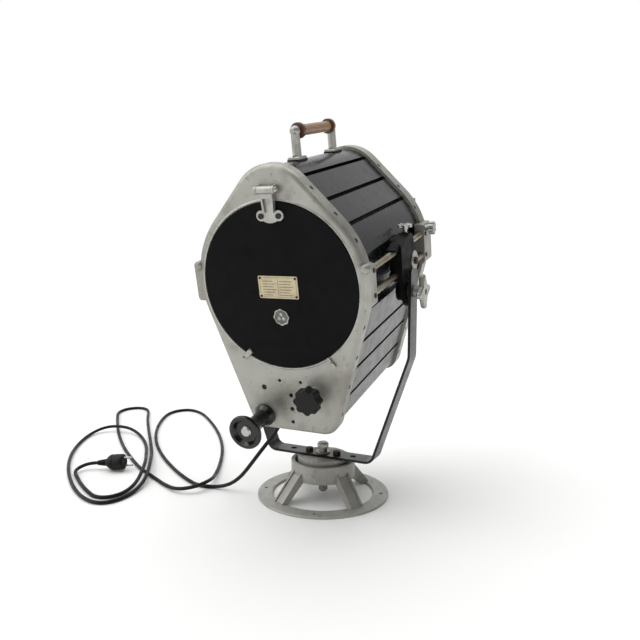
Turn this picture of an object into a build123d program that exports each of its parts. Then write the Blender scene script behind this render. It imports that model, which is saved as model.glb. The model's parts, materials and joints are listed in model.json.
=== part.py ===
"""A follow spot on a pan-and-tilt floor stand, built as separate pieces.

Millimetres. The frame's origin is the middle of the base casting's underside, +Z is up,
+Y is the way the beam points at pan 0 and +X is to the right seen from behind.
Pieces of the lamp house are drawn level in a house frame with its origin on the tilt
axis, then turned up by TILT and raised by PIVOT_Z.
"""
from build123d import *
import os
from math import acos, atan2, cos, hypot, pi, radians, sin, tan

os.makedirs("parts", exist_ok=True)

# ---------------------------------------------------------------- driving dimensions
# base casting
FLANGE_R = 140.0
FLANGE_BORE_R = 107.4
FLANGE_T = 4.8
BASE_BOLT_R = 124.5
BASE_BOLT_HOLE_R = 4.0
BASE_BOLT_ANGLE = 17.0
LEG_ANGLE = 61.5
LEG_W = 30.0
HUB_R = 68.0
HUB_WALL_R = 60.0
HUB_Z = (42.0, 50.0, 77.5)
# pan bearing
WASHER_TOP = 52.0
DISC_R = 54.0
PAN_SHAFT_R = 7.0
PAN_CLEAR = 0.5
STRAP_BOLT_X = 32.0
STRAP_BOLT_R = 4.0
PAN_HEAD_Z = (101.0, 113.0)
# yoke
STRAP_W = 41.7
STRAP_T = 5.2
STRAP_Z = 85.5
CORNER_X = 118.5
KINK_Z = 311.4
ARM_X = 196.05
ARM_TOP = 487.0
YOKE_HOLE_X = 69.2
YOKE_HOLE_R = 6.5
# tilt
PIVOT_Z = 442.8
TILT = 11.6
STUD_R = 6.0
# lamp house, in the house frame
RIM_CIRCLES = ((61.0, -204.0, 35.0), (0.0, 57.0, 172.0), (0.0, 193.0, 80.0),
               (0.0, 57.0, 172.0), (-61.0, -204.0, 35.0))
REAR_Y = (-187.0, -157.0)
FRONT_Y = (160.0, 200.0)
RIM_WALL = 6.5
FACE_T = 8.0
FACE_ROUND = 10.0
SHEET_T = 1.5
SHEET_INSET = 6.6
SHEET_Y = (-164.0, 167.0)
LOUVRE_GAP = 8.0
LOUVRES = ((57.0, 254.0), (98.0, 210.0), (136.5, 165.0), (151.0, -65.0), (132.0, -118.5),
           (112.0, -175.0))
RECESS_Z = (3.0, 107.0)
RECESS_X = 148.0
AXIS_Z = 52.9
DOOR_R = 156.1
REBATE_R = 157.5
REBATE_D = 3.5
DOOR_OPENING_R = 148.0
# balance rods and pivot carriages
ROD_X = 170.5
ROD_R = 6.0
ROD_Z = (84.0, 39.0)
ROD_Y = (-178.0, 159.0)
EAR_X = 179.0
SLIDE_CLEAR = 0.3
CARRIAGE_Y = (-37.0, 40.0)
PLATE_X = (178.0, 186.0)
THUMB_X = ROD_X + 3.0
THUMB_Y = 30.0
LOCK_DISC = (40.0, 52.0, 20.0)
ACCESSORY = (150.0, 96.0)
# door hinge
HINGE_Y = -199.0
HINGE_Z = 230.0
# lamp tray drive
SCREW_X = 53.1
SCREW_Z = -153.0
GUIDE_X = -55.0
GUIDE_Z = -149.2
# rear face
GRIP_X = -60.3
SPOOL_Z = -208.7
FACE_HOLES = ((-19.5, -132.0, 3.4), (24.9, -132.0, 3.4), (2.0, -161.0, 4.3),
              (1.6, -189.5, 4.5), (0.4, -217.0, 3.8))
LATCH_LEFT = (-89.9, -88.4)
LATCH_TIP = (-75.76, -76.59)
LATCH_RIGHT = (94.5, -84.5)
# handle
POST_Y = (-63.0, 104.0)
POST_R = 8.5
BALL_R = 10.0
GRIP_Z = 319.0
FOOT_X = 12.0
FOOT_Y = 16.5
FOOT_SCREW_Y = 13.2
# lens
LENS_R = 125.0
LENS_OPENING_R = 118.0
# supply cord
CORD_R = 4.0

HOUSE = Location((0, 0, PIVOT_Z), (TILT, 0, 0))


# ---------------------------------------------------------------- helpers
def rod_x(x0, x1, y, z, r):
    """Round bar along X."""
    return Pos((x0 + x1) / 2, y, z) * Rot(0, 90, 0) * Cylinder(r, abs(x1 - x0))


def rod_y(x, z, y0, y1, r):
    """Round bar along Y."""
    return Pos(x, (y0 + y1) / 2, z) * Rot(90, 0, 0) * Cylinder(r, y1 - y0)


def rod_z(x, y, z0, z1, r):
    """Round bar along Z."""
    return Pos(x, y, (z0 + z1) / 2) * Cylinder(r, z1 - z0)


def block(x0, x1, y0, y1, z0, z1):
    """Rectangular block between two corners."""
    return Pos((x0 + x1) / 2, (y0 + y1) / 2, (z0 + z1) / 2) * Box(x1 - x0, y1 - y0, z1 - z0)


def upright(y):
    """The (x, z) drawing plane at y."""
    return Plane(origin=(0, y, 0), x_dir=(1, 0, 0), z_dir=(0, -1, 0))


def slab_y(outline, y0, y1):
    """Outline drawn in (x, z), given depth from y0 to y1."""
    return extrude(upright(y1) * outline, amount=y1 - y0, dir=(0, -1, 0))


def slab_x(points, x0, x1):
    """Polygon of (y, z) points, given width from x0 to x1."""
    face = make_face(Polyline(*[(x0, y, z) for y, z in points], close=True))
    return extrude(face, amount=x1 - x0, dir=(1, 0, 0))


def both_sides(shape):
    """The shape and its mirror image across the middle plane."""
    return [shape, mirror(shape, about=Plane.YZ)]


def ring_y(x, z, y0, y1, outer, inner):
    """Flat ring with its axis along Y."""
    return rod_y(x, z, y0, y1, outer) - rod_y(x, z, y0 - 1, y1 + 1, inner)


def turned(profile, axis_point):
    """Solid of revolution about Z from (radius, height) points, standing on a point."""
    face = make_face(Polyline(*[(r, 0, h) for r, h in profile], close=True))
    return Pos(*axis_point) * revolve(face, axis=Axis.Z)


def save(name, shapes, place=Location()):
    """Write one node, one solid per piece."""
    if not isinstance(shapes, (list, tuple)):
        shapes = [shapes]
    solids = []
    for shape in shapes:
        solids += [place * solid for solid in shape.solids()]
    if len(solids) == 1:
        export_step(solids[0], "parts/" + name + ".step")
    else:
        export_step(Compound(solids), "parts/" + name + ".step")


def rim_reach(angle):
    """Distance from the house origin to the rim's tangent facing this angle."""
    return max(x * cos(angle) + z * sin(angle) + r for x, z, r in RIM_CIRCLES)


def rim_spot(x, z):
    """The point of the rim's outline nearest (x, z) and the outward angle there."""
    def stand_off(angle):
        return x * cos(angle) + z * sin(angle) - rim_reach(angle)
    angle = max((radians(step / 2) for step in range(720)), key=stand_off)
    off = stand_off(angle)
    return x - off * cos(angle), z - off * sin(angle), angle


def rim_face(inset):
    """The rim's outline, drawn in by inset, as a face in (x, z)."""
    runs = []
    count = len(RIM_CIRCLES)
    for i in range(count):
        ax, az, ar = RIM_CIRCLES[i]
        bx, bz, br = RIM_CIRCLES[(i + 1) % count]
        normal = atan2(bz - az, bx - ax) - acos((ar - br) / hypot(bx - ax, bz - az))
        start = (ax + (ar - inset) * cos(normal), az + (ar - inset) * sin(normal))
        end = (bx + (br - inset) * cos(normal), bz + (br - inset) * sin(normal))
        runs.append((start, end, normal))
    edges = []
    for i in range(count):
        start, end, normal = runs[i]
        after, _, normal_after = runs[(i + 1) % count]
        bx, bz, br = RIM_CIRCLES[(i + 1) % count]
        turn = (normal_after - normal) % (2 * pi)
        middle = normal + turn / 2
        edges.append(Line(start, end))
        edges.append(ThreePointArc(end, (bx + (br - inset) * cos(middle),
                                         bz + (br - inset) * sin(middle)), after))
    return Face(Wire(edges))


def rim_slab(inset, y0, y1):
    """Solid with the rim's outline drawn in by inset."""
    return slab_y(rim_face(inset), y0, y1)


def rim_shell(inset, thickness, y0, y1):
    """Sheet following the rim's outline."""
    return rim_slab(inset, y0, y1) - rim_slab(inset + thickness, y0 - 1, y1 + 1)


def star_knob(lobes, radius, lobe_r, thickness, core_r, ease=0.8):
    """Lobed knob head with its axis on Z, standing on z = 0."""
    reach = radius - lobe_r
    outline = Sketch() + Circle(core_r)
    spoke = Pos(reach / 2, 0) * Rectangle(reach, lobe_r * 1.8)
    for i in range(lobes):
        turn = Rot(0, 0, 360 * i / lobes)
        outline += turn * Pos(reach, 0) * Circle(lobe_r)
        if core_r < reach:
            outline += turn * spoke
    if core_r < reach:
        outline = fillet(outline.vertices(), lobe_r * 0.25)
    head = extrude(outline, amount=thickness)
    return chamfer(head.edges().group_by(Axis.Z)[-1], ease)


def palm_knob(lobes, radius, lobe_r, thickness, core_r, ease):
    """Knob head whose lobes run smoothly out of its round middle, standing on z = 0."""
    outline = Sketch() + Circle(core_r)
    for i in range(lobes):
        lobe = Pos(radius - lobe_r, 0) * Circle(lobe_r)
        outline += Rot(0, 0, 360 * i / lobes) * make_hull(Circle(core_r).edges() + lobe.edges())
    head = extrude(outline, amount=thickness)
    ends = head.edges().group_by(Axis.Z)
    return chamfer(ends[0] + ends[-1], ease)


def bar_plan(start, end, width):
    """Outline in (x, z) of a flat bar with rounded ends, between two points."""
    run = hypot(end[0] - start[0], end[1] - start[1])
    angle = atan2(end[1] - start[1], end[0] - start[0]) * 180 / pi
    middle = Pos((start[0] + end[0]) / 2, (start[1] + end[1]) / 2)
    return middle * Rot(0, 0, angle) * SlotCenterToCenter(run, width)


def swept_cord(points):
    """Round cord along straight runs joined by tangent arcs."""
    vectors = [Vector(*p) for p in points]
    bends = []
    for before, here, after in zip(vectors, vectors[1:], vectors[2:]):
        run_in = here - before
        run_out = after - here
        half = radians(run_in.get_angle(run_out)) / 2
        bends.append(0.45 * min(run_in.length, run_out.length) / tan(half))
    print("cord bend radii", [round(r) for r in bends])
    path = FilletPolyline(*vectors, radius=bends)
    start = Plane(origin=vectors[0], z_dir=vectors[1] - vectors[0])
    tube = sweep(start * Circle(CORD_R), path=path)
    print("cord length", round(path.length), "volume ratio",
          round(tube.volume / (pi * CORD_R ** 2 * path.length), 4))
    return tube


# ---------------------------------------------------------------- base
flange = rod_z(0, 0, 0, FLANGE_T, FLANGE_R) - rod_z(0, 0, -1, FLANGE_T + 1, FLANGE_BORE_R)
flange = chamfer(flange.edges().group_by(Axis.Z)[-1], 1.0)
hub = rod_z(0, 0, HUB_Z[0], HUB_Z[2], HUB_R) - rod_z(0, 0, HUB_Z[1], HUB_Z[2] + 1, HUB_WALL_R)
hub = chamfer(hub.edges().group_by(Axis.Z)[-1], 1.0)
base = flange + hub
for i in range(4):
    web = slab_x([(60, 45), (104.5, 0), (113, 0), (113, FLANGE_T), (69, 55), (60, 56)],
                 -LEG_W / 2, LEG_W / 2)
    rib = slab_x([(60, 43), (103, 0), (115, 0), (115, FLANGE_T + 2), (69, 60), (60, 60)],
                 LEG_W / 2 - 4, LEG_W / 2)
    leg = web + rib + mirror(rib, about=Plane.YZ)
    base += Rot(0, 0, LEG_ANGLE - 90 + 90 * i) * leg
base -= rod_z(0, 0, HUB_Z[1], HUB_Z[2] + 1, HUB_WALL_R)
base -= rod_z(0, 0, 0, HUB_Z[2], PAN_SHAFT_R + PAN_CLEAR)
for i in range(4):
    angle = radians(BASE_BOLT_ANGLE + 90 * i)
    base -= rod_z(BASE_BOLT_R * cos(angle), BASE_BOLT_R * sin(angle), -1, FLANGE_T + 1,
                  BASE_BOLT_HOLE_R)
save("base_casting", base)
save("thrust_washer", rod_z(0, 0, HUB_Z[1], WASHER_TOP, 48) - rod_z(0, 0, 0, 99, 20))

disc = rod_z(0, 0, WASHER_TOP, STRAP_Z, DISC_R) - rod_z(0, 0, 0, 99, PAN_SHAFT_R + 0.1)
disc = chamfer(disc.edges().filter_by(GeomType.CIRCLE).sort_by(SortBy.RADIUS)[-2:], 1.5)
for side in (-1, 1):
    disc -= rod_z(side * STRAP_BOLT_X, 0, 63, 99, STRAP_BOLT_R)
save("turntable_disc", disc)

strap_top = STRAP_Z + STRAP_T
pan_nut = Pos(0, 0, 15.5) * extrude(RegularPolygon(10.8, 6), amount=13 / 2, both=True)
save("pan_nut", pan_nut - rod_z(0, 0, 0, 30, PAN_SHAFT_R))
pan_washer = chamfer(rod_z(0, 0, strap_top, 93.5, 15.5).edges().group_by(Axis.Z)[-1], 0.8)
save("pan_washer", pan_washer - rod_z(0, 0, 80, 99, PAN_SHAFT_R + 0.1))
pan_head = chamfer(rod_z(0, 0, *PAN_HEAD_Z, 11.3).edges().group_by(Axis.Z)[-1], 2.0)
pan_head += Pos(0, 0, 93.5) * extrude(RegularPolygon(9.8, 6), amount=PAN_HEAD_Z[0] - 93.5)
save("pan_bolt", rod_z(0, 0, 5, 94, PAN_SHAFT_R) + pan_head)
strap_bolts = []
for side in (-1, 1):
    x = side * STRAP_BOLT_X
    head = chamfer(extrude(RegularPolygon(8.8, 6), amount=6.5).edges().group_by(Axis.Z)[-1], 1.2)
    strap_bolts.append(Pos(x, 0, strap_top) * head + rod_z(x, 0, 65, 94, STRAP_BOLT_R))
save("strap_bolts", strap_bolts)


# ---------------------------------------------------------------- yoke
def inset_corner(point, direction_in, direction_out, distance):
    """Corner of a line set in to the left of two runs that meet at point."""
    ax, az = -direction_in[1], direction_in[0]
    bx, bz = -direction_out[1], direction_out[0]
    share = distance / (1 + ax * bx + az * bz)
    return point[0] + share * (ax + bx), point[1] + share * (az + bz)


lean = hypot(ARM_X - CORNER_X, KINK_Z - STRAP_Z)
along_strap = (1.0, 0.0)
along_leg = ((ARM_X - CORNER_X) / lean, (KINK_Z - STRAP_Z) / lean)
along_arm = (0.0, 1.0)
corner_in = inset_corner((CORNER_X, STRAP_Z), along_strap, along_leg, STRAP_T)
kink_in = inset_corner((ARM_X, KINK_Z), along_leg, along_arm, STRAP_T)
outer = [(0, STRAP_Z), (CORNER_X, STRAP_Z), (ARM_X, KINK_Z), (ARM_X, ARM_TOP)]
inner = [(ARM_X - STRAP_T, ARM_TOP), kink_in, corner_in, (0, STRAP_Z + STRAP_T)]
outer_line = FilletPolyline(*outer, radius=[22.0, 40.0])
inner_line = FilletPolyline(*inner, radius=[40.0 - STRAP_T, 22.0 - STRAP_T])
ribbon = Face(Wire(outer_line.edges() + [Line(outer[-1], inner[0])] + inner_line.edges()
                   + [Line(inner[-1], outer[0])]))
half_yoke = slab_y(ribbon, -STRAP_W / 2, STRAP_W / 2)
arm_end = half_yoke.edges().filter_by(Axis.X).group_by(Axis.Z)[-1]
half_yoke = fillet(arm_end, 9)
yoke = half_yoke + mirror(half_yoke, about=Plane.YZ)
yoke -= rod_z(0, 0, 80, 99, PAN_SHAFT_R + 0.1)
for side in (-1, 1):
    yoke -= rod_z(side * STRAP_BOLT_X, 0, 80, 99, STRAP_BOLT_R + 0.3)
    yoke -= rod_z(side * YOKE_HOLE_X, 0, 80, 99, YOKE_HOLE_R)
yoke -= rod_x(-ARM_X - 1, ARM_X + 1, 0, PIVOT_Z, STUD_R + 0.4)
save("yoke", yoke)


# ---------------------------------------------------------------- tilt pivots and carriages
plate = slab_x([(-37, 10), (-20, -20), (-9, -28), (9, -28), (24, -14), (38, 12), (52, 30),
                (60, 52), (54, 76), (44, 90), (40, 100), (34, 108), (22, 111), (6, 108),
                (-20, 100), (-37, 96)], *PLATE_X)
pivot_boss = rod_x(164, PLATE_X[1], 0, 0, 19)
bosses = rod_y(ROD_X, ROD_Z[1], *CARRIAGE_Y, 11.5) + rod_y(ROD_X, ROD_Z[0], *CARRIAGE_Y, 11.5)
dome = slab_x([(-37, 84), (40, 84), (40, 100), (34, 108), (22, 111), (6, 108), (-20, 100),
               (-37, 96)], 162, PLATE_X[1])
dome = fillet(dome.edges().filter_by(Axis.Y, reverse=True).filter_by(
    lambda edge: edge.center().Z > 101).group_by(Axis.X)[-1], 3.0)
wing = slab_x([(-30, 88), (-30, 100), (-56, 93), (-56, 90)], 164, 182)
web = block(162, PLATE_X[1], *CARRIAGE_Y, ROD_Z[1], ROD_Z[0])
carriage = plate + pivot_boss + bosses + dome + wing + web
carriage -= block(150, 174, CARRIAGE_Y[0] + 8, CARRIAGE_Y[1] - 8, 54, 69)
for z in ROD_Z:
    carriage -= rod_y(ROD_X, z, -99, 99, ROD_R + SLIDE_CLEAR)
carriage -= rod_x(160, 190, 0, 0, STUD_R)
carriage -= rod_x(182.5, 190, *LOCK_DISC[:2], LOCK_DISC[2] + 0.2)
carriage -= rod_z(THUMB_X, THUMB_Y, ROD_Z[0], 120, 4.3)
save("pivot_carriage_right", carriage, HOUSE)
save("pivot_carriage_left", mirror(carriage, about=Plane.YZ), HOUSE)

lock_disc = chamfer(rod_x(182.5, 188, *LOCK_DISC).edges().group_by(Axis.X)[-1], 1.0)
lock_disc += rod_x(187, 191.5, *LOCK_DISC[:2], 6.5)
save("lock_discs", both_sides(lock_disc), HOUSE)
stud = rod_x(168, 214, 0, 0, STUD_R)
save("pivot_studs", both_sides(stud), HOUSE)
friction = rod_x(PLATE_X[1], ARM_X - STRAP_T, 0, 0, 15.5) - rod_x(180, 199, 0, 0, STUD_R + 0.1)
save("friction_discs", both_sides(friction), HOUSE)

palm = Pos(209, 0, 0) * Rot(0, 90, 0) * palm_knob(4, 34.5, 6.8, 10.5, 17.0, 2.5)
knob = palm + rod_x(ARM_X + 0.55, 210, 0, 0, 11.5) - rod_x(190, 230, 0, 0, STUD_R + 0.3)
save("tilt_knob_right", knob, HOUSE)
save("tilt_knob_left", mirror(knob, about=Plane.YZ), HOUSE)

thumb = Pos(THUMB_X, THUMB_Y, 121) * star_knob(5, 14.5, 4.2, 6.0, 8.0)
thumb += rod_z(THUMB_X, THUMB_Y, 117, 122, 6) + rod_z(THUMB_X, THUMB_Y, 90.6, 118, 3.9)
save("thumb_screw_right", thumb, HOUSE)
save("thumb_screw_left", mirror(thumb, about=Plane.YZ), HOUSE)

# ---------------------------------------------------------------- end castings
RIM_SCREWS = [(79.2, 230.7), (119.9, 184.9), (155.7, 138.4), (159.1, -21.0), (138.7, -79.5),
              (118.1, -137.6), (98.7, -196.0)]
rim_screw_spots = [rim_spot(0, 273)]
for x, z in RIM_SCREWS:
    rim_screw_spots += [rim_spot(x, z), rim_spot(-x, z)]


def along_spot(spot, y, low, high, r):
    """Round bar square to the rim at a spot, from low to high measured outward."""
    x, z, angle = spot
    middle = (low + high) / 2
    return (Pos(x + middle * cos(angle), y, z + middle * sin(angle))
            * Rot(0, 90 - angle * 180 / pi, 0) * Cylinder(r, high - low))


def casting(depth, spots, screw_depth):
    """Shell casting with its face at y = 0 and its open side at y = depth."""
    body = Part() + rim_slab(0, 0, depth)
    body = fillet(body.edges().group_by(Axis.Y)[0], FACE_ROUND)
    body -= rim_slab(RIM_WALL, FACE_T, depth + 1)
    for spot in spots:
        body -= along_spot(spot, screw_depth, -RIM_WALL - 1, 1, 2.6)
        body -= along_spot(spot, screw_depth, -2.5, 1, 4.6)
    return body


def ears(y0, y1, top):
    """The two side lugs that carry the balance rods."""
    lug = block(158, EAR_X, y0, y1, 21, top)
    lug = fillet(lug.edges().filter_by(Axis.Y).group_by(Axis.X)[-1], 7)
    return Part() + both_sides(lug)


def ear_bores(y0, y1):
    """Blind rod seats and set-screw holes in a pair of ears."""
    cuts = Part()
    for z in ROD_Z:
        cuts += rod_y(ROD_X, z, y0, y1, ROD_R)
        cuts += rod_x(ROD_X + 5, EAR_X + 1, ROD_Y[0] + 10 if y0 < 0 else ROD_Y[1] - 10, z, 3)
    return cuts + mirror(cuts, about=Plane.YZ)


REAR_SCREW_Y = REAR_Y[0] + 15
FRONT_SCREW_Y = FRONT_Y[1] - 31
rear = Pos(0, REAR_Y[0], 0) * casting(REAR_Y[1] - REAR_Y[0], rim_screw_spots, 15)
rear += ears(REAR_Y[0] + 1, -158, 95)
rear -= ear_bores(ROD_Y[0], -150)
rear -= rod_y(0, AXIS_Z, REAR_Y[0] - 1, REAR_Y[0] + REBATE_D, REBATE_R)
rear -= rod_y(0, AXIS_Z, REAR_Y[0] - 1, REAR_Y[0] + FACE_T + 1, DOOR_OPENING_R)
for side in (-1, 1):
    lug = rod_x(14.5, 19.5, HINGE_Y, HINGE_Z, 7.5)
    lug += block(14.5, 19.5, HINGE_Y, REAR_Y[0] + 1, HINGE_Z - 7.5, HINGE_Z + 7.5)
    rear += lug if side > 0 else mirror(lug, about=Plane.YZ)
rear -= rod_x(-30, 30, HINGE_Y, HINGE_Z, 3.0)
rear += rod_y(SCREW_X, SCREW_Z, REAR_Y[0] - 4, REAR_Y[0] + 1, 15)
rear -= rod_y(SCREW_X, SCREW_Z, REAR_Y[0] - 9, REAR_Y[0] + 9, 5.3)
rear -= rod_y(GUIDE_X, GUIDE_Z, REAR_Y[0] - 1, REAR_Y[0] + 9, 5.5)
for x, z, r in FACE_HOLES:
    rear -= rod_y(x, z, REAR_Y[0] - 1, REAR_Y[0] + 9, r)
for x, z in (LATCH_LEFT, LATCH_RIGHT):
    rear -= rod_y(x, z, REAR_Y[0] - 1, REAR_Y[0] + 5, 2.0)
save("rear_casting", rear, HOUSE)

front = Rot(0, 0, 180) * casting(FRONT_Y[1] - FRONT_Y[0], rim_screw_spots, 31)
front = Pos(0, FRONT_Y[1], 0) * front + ears(139, FRONT_Y[1] - 10, 105)
front -= rod_y(0, AXIS_Z, 150, 210, LENS_OPENING_R)
front -= rod_y(0, AXIS_Z, 150, FRONT_Y[1] - 3, LENS_R + 1)
front -= ear_bores(130, ROD_Y[1])
front -= rod_x(165, 190, *ACCESSORY, 4.3)
save("front_casting", front, HOUSE)

rim_screws = []
for y in (REAR_SCREW_Y, FRONT_SCREW_Y):
    for spot in rim_screw_spots:
        screw = along_spot(spot, y, -2.5, -0.4, 4.3) + along_spot(spot, y, -9.5, -2.4, 2.4)
        rim_screws.append(screw)
save("rim_screws", rim_screws, HOUSE)

rods = [rod_y(ROD_X, z, *ROD_Y, ROD_R) for z in ROD_Z]
save("balance_rods", [piece for rod in rods for piece in both_sides(rod)], HOUSE)
set_screws = []
for y in (ROD_Y[0] + 10, ROD_Y[1] - 10):
    for z in ROD_Z:
        screw = rod_x(ROD_X + ROD_R, EAR_X, y, z, 2.9) + rod_x(EAR_X, EAR_X + 1.6, y, z, 4.5)
        set_screws += both_sides(screw)
save("ear_set_screws", set_screws, HOUSE)

# ---------------------------------------------------------------- sheet housing
screw_cuts = Part()
for y in (REAR_SCREW_Y, FRONT_SCREW_Y):
    for spot in rim_screw_spots:
        screw_cuts += along_spot(spot, y, -12, -4, 2.6)

sheet = rim_shell(SHEET_INSET, SHEET_T, *SHEET_Y)
sheet -= block(-200, 200, -200, 200, *RECESS_Z)
for x, z in LOUVRES:
    for side in (-1, 1):
        spot = rim_spot(side * x, z)
        sheet -= (Pos(spot[0], 0, spot[1]) * Rot(0, -spot[2] * 180 / pi, 0)
                  * Box(40, 400, LOUVRE_GAP))
sheet -= screw_cuts
bands = sorted(sheet.solids(), key=lambda s: (s.center().Z, s.center().X))
top_cap = bands[-1]
bottom_plate = bands[0]
GLAND_FOOT = (-43.7, -146.0, -232.4)
bottom_plate = Part() + bottom_plate - rod_z(GLAND_FOOT[0], GLAND_FOOT[1], -240, -225, 5.2)
for y in POST_Y:
    for side in (-1, 1):
        top_cap = Part() + top_cap - rod_z(0, y + side * FOOT_SCREW_Y, 250, 280, 2.1)
save("top_cap", top_cap, HOUSE)
save("bottom_plate", bottom_plate, HOUSE)
middle = bands[1:-1]
save("upper_slats", [band for band in middle if band.center().Z > AXIS_Z], HOUSE)
save("lower_slats", [band for band in middle if band.center().Z < AXIS_Z], HOUSE)
print("sheet bands", len(bands))

channel = block(RECESS_X, RECESS_X + 2, *SHEET_Y, *RECESS_Z)
channel += block(RECESS_X, 157.0, *SHEET_Y, RECESS_Z[1] - 1.5, RECESS_Z[1])
channel += block(RECESS_X, 156.0, *SHEET_Y, RECESS_Z[0], RECESS_Z[0] + 1.5)
save("side_panels", both_sides(channel), HOUSE)

BAFFLE_INSET = 17.0
baffle_out = rim_slab(BAFFLE_INSET, -164, 155) & block(-146, 146, -164, 155, -300, 300)
baffle_in = rim_slab(BAFFLE_INSET + 1.2, -165, 156) & block(-144.8, 144.8, -165, 156, -300, 300)
baffle = baffle_out - baffle_in - block(-50, 50, -170, 160, -240, -200)
save("inner_baffle", baffle, HOUSE)

# ---------------------------------------------------------------- carrying handle
CAP_TOP = 273.0 - SHEET_INSET
gaskets, posts, handle_screws = [], [], []
for y in POST_Y:
    pad = block(-FOOT_X - 1, FOOT_X + 1, y - FOOT_Y - 1, y + FOOT_Y + 1, 262, CAP_TOP + 2)
    pad -= rod_y(0, 193, -200, 200, 73.45)
    foot = block(-FOOT_X, FOOT_X, y - FOOT_Y, y + FOOT_Y, CAP_TOP + 2, CAP_TOP + 7)
    foot = chamfer(foot.edges().group_by(Axis.Z)[-1], 1.5)
    post = foot + rod_z(0, y, CAP_TOP + 6, GRIP_Z, POST_R) + Pos(0, y, GRIP_Z) * Sphere(BALL_R)
    post -= rod_y(0, GRIP_Z, y - 20, y + 20, 4)
    for side in (-1, 1):
        screw_y = y + side * FOOT_SCREW_Y
        post -= rod_z(0, screw_y, 250, 290, 2.1)
        pad -= rod_z(0, screw_y, 250, 290, 2.1)
        handle_screws.append(rod_z(0, screw_y, CAP_TOP - 6, CAP_TOP + 7, 2)
                             + rod_z(0, screw_y, CAP_TOP + 7, CAP_TOP + 9, 2.9))
    gaskets.append(pad)
    posts.append(post)
save("handle_gaskets", gaskets, HOUSE)
tie_rod = rod_y(0, GRIP_Z, POST_Y[0] - BALL_R, POST_Y[1] + BALL_R, 4)
save("handle_posts", posts + [tie_rod], HOUSE)
save("handle_screws", handle_screws, HOUSE)
grip_ends = (POST_Y[0] + BALL_R, POST_Y[1] - BALL_R)
collars = [ring_y(0, GRIP_Z, grip_ends[0], grip_ends[0] + 8, 15, 4),
           ring_y(0, GRIP_Z, grip_ends[1] - 8, grip_ends[1], 15, 4)]
save("handle_collars", collars, HOUSE)
wood = rod_y(0, GRIP_Z, grip_ends[0] + 8, grip_ends[1] - 8, 10.5)
wood = fillet(wood.edges().filter_by(GeomType.CIRCLE), 2) - rod_y(0, GRIP_Z, -99, 120, 4)
save("handle_grip", wood, HOUSE)

# ---------------------------------------------------------------- rear face fittings
grip_profile = [(0, 0), (22.35, 0), (22.35, 6), (17, 14), (15, 26), (15, 42), (17.5, 56), (25, 67),
                (32.5, 73), (34, 77), (33.5, 80), (31.5, 81.5), (26, 81.5), (21, 74), (0, 74)]
spool = Pos(GRIP_X, REAR_Y[0], SPOOL_Z) * Rot(90, 0, 0) * turned(grip_profile, (0, 0, 0))
spool -= rod_y(GRIP_X, SPOOL_Z, REAR_Y[0] - 90, REAR_Y[0] + 2, 4.1)
save("guide_grip", spool, HOUSE)
grip_bolt = rod_y(GRIP_X, SPOOL_Z, REAR_Y[0] - 78, REAR_Y[0] - 74, 11)
grip_bolt = chamfer(grip_bolt.edges().group_by(Axis.Y)[0], 2.5)
save("guide_grip_bolt", grip_bolt + rod_y(GRIP_X, SPOOL_Z, REAR_Y[0] - 75, REAR_Y[0], 4), HOUSE)

star = star_knob(8, 26.5, 7.0, 20.0, 23.0, 1.6)
star = Pos(SCREW_X, REAR_Y[0] - 21, SCREW_Z) * Rot(90, 0, 0) * star
star += rod_y(SCREW_X, SCREW_Z, REAR_Y[0] - 22, REAR_Y[0] - 4.3, 12.5)
save("focus_knob", star - rod_y(SCREW_X, SCREW_Z, REAR_Y[0] - 35, REAR_Y[0], 5), HOUSE)
save("focus_screw", rod_y(SCREW_X, SCREW_Z, REAR_Y[0] - 35, FRONT_Y[1] - FACE_T - 0.3, 5), HOUSE)
save("guide_rod", rod_y(GUIDE_X, GUIDE_Z, REAR_Y[0] + 3, FRONT_Y[1] - FACE_T, 5.5), HOUSE)

door = rod_y(0, AXIS_Z, REAR_Y[0] - 0.5, REAR_Y[0] + REBATE_D, DOOR_R)
door = chamfer(door.edges().filter_by(GeomType.CIRCLE).group_by(Axis.Y)[0], 0.6)
door += ring_y(0, AXIS_Z, REAR_Y[0] + REBATE_D, REAR_Y[0] + 10, 144, 138)
door -= slab_y(bar_plan(LATCH_LEFT, LATCH_TIP, 12.0), REAR_Y[0] - 2, REAR_Y[0] + 6)
for side in (-1, 1):
    door -= rod_y(side * 17.3, 183.4, REAR_Y[0] - 2, REAR_Y[0] + 6, 2.5)
save("rear_door", door, HOUSE)

DOOR_FACE = REAR_Y[0] - 0.5
foot_ends = Pos(-17.3, 184) * Circle(9.5) + Pos(17.3, 184) * Circle(9.5)
foot_bow = Pos(0, 197) * Circle(26) & Pos(0, 180) * Rectangle(48, 19)
arm_plan = make_face(Polyline((-10, 176), (10, 176), (13, 222), (-13, 222), close=True))
arm = slab_y(foot_ends + foot_bow + arm_plan, DOOR_FACE - 4, DOOR_FACE)
arm -= slab_y(Pos(0, 216) * Rectangle(30, 14), DOOR_FACE - 0.3, DOOR_FACE + 1)
for side in (-1, 1):
    edge = make_face(Polyline((side * 7, 190), (side * 10.6, 190), (side * 13, 226),
                              (side * 9.5, 226), close=True))
    arm += slab_y(edge, DOOR_FACE - 9, DOOR_FACE - 3)
    arm -= rod_y(side * 17.3, 183.4, DOOR_FACE - 9, DOOR_FACE + 1, 2.5)
arm += block(-12.5, 12.5, HINGE_Y, DOOR_FACE - 3.5, 215, HINGE_Z)
arm += rod_x(-14, 14, HINGE_Y, HINGE_Z, 7.2)
arm -= rod_x(-20, 20, HINGE_Y, HINGE_Z, 3.3)
save("hinge_arm", arm, HOUSE)
pin = rod_x(-20, 20, HINGE_Y, HINGE_Z, 3.0)
for side in (-1, 1):
    dome_nut = Pos(side * 19.5, HINGE_Y, HINGE_Z) * Sphere(5.5)
    pin += dome_nut & block(*sorted((side * 19.5, side * 30)), -220, -180, 210, 250)
save("hinge_pin", pin, HOUSE)
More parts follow.
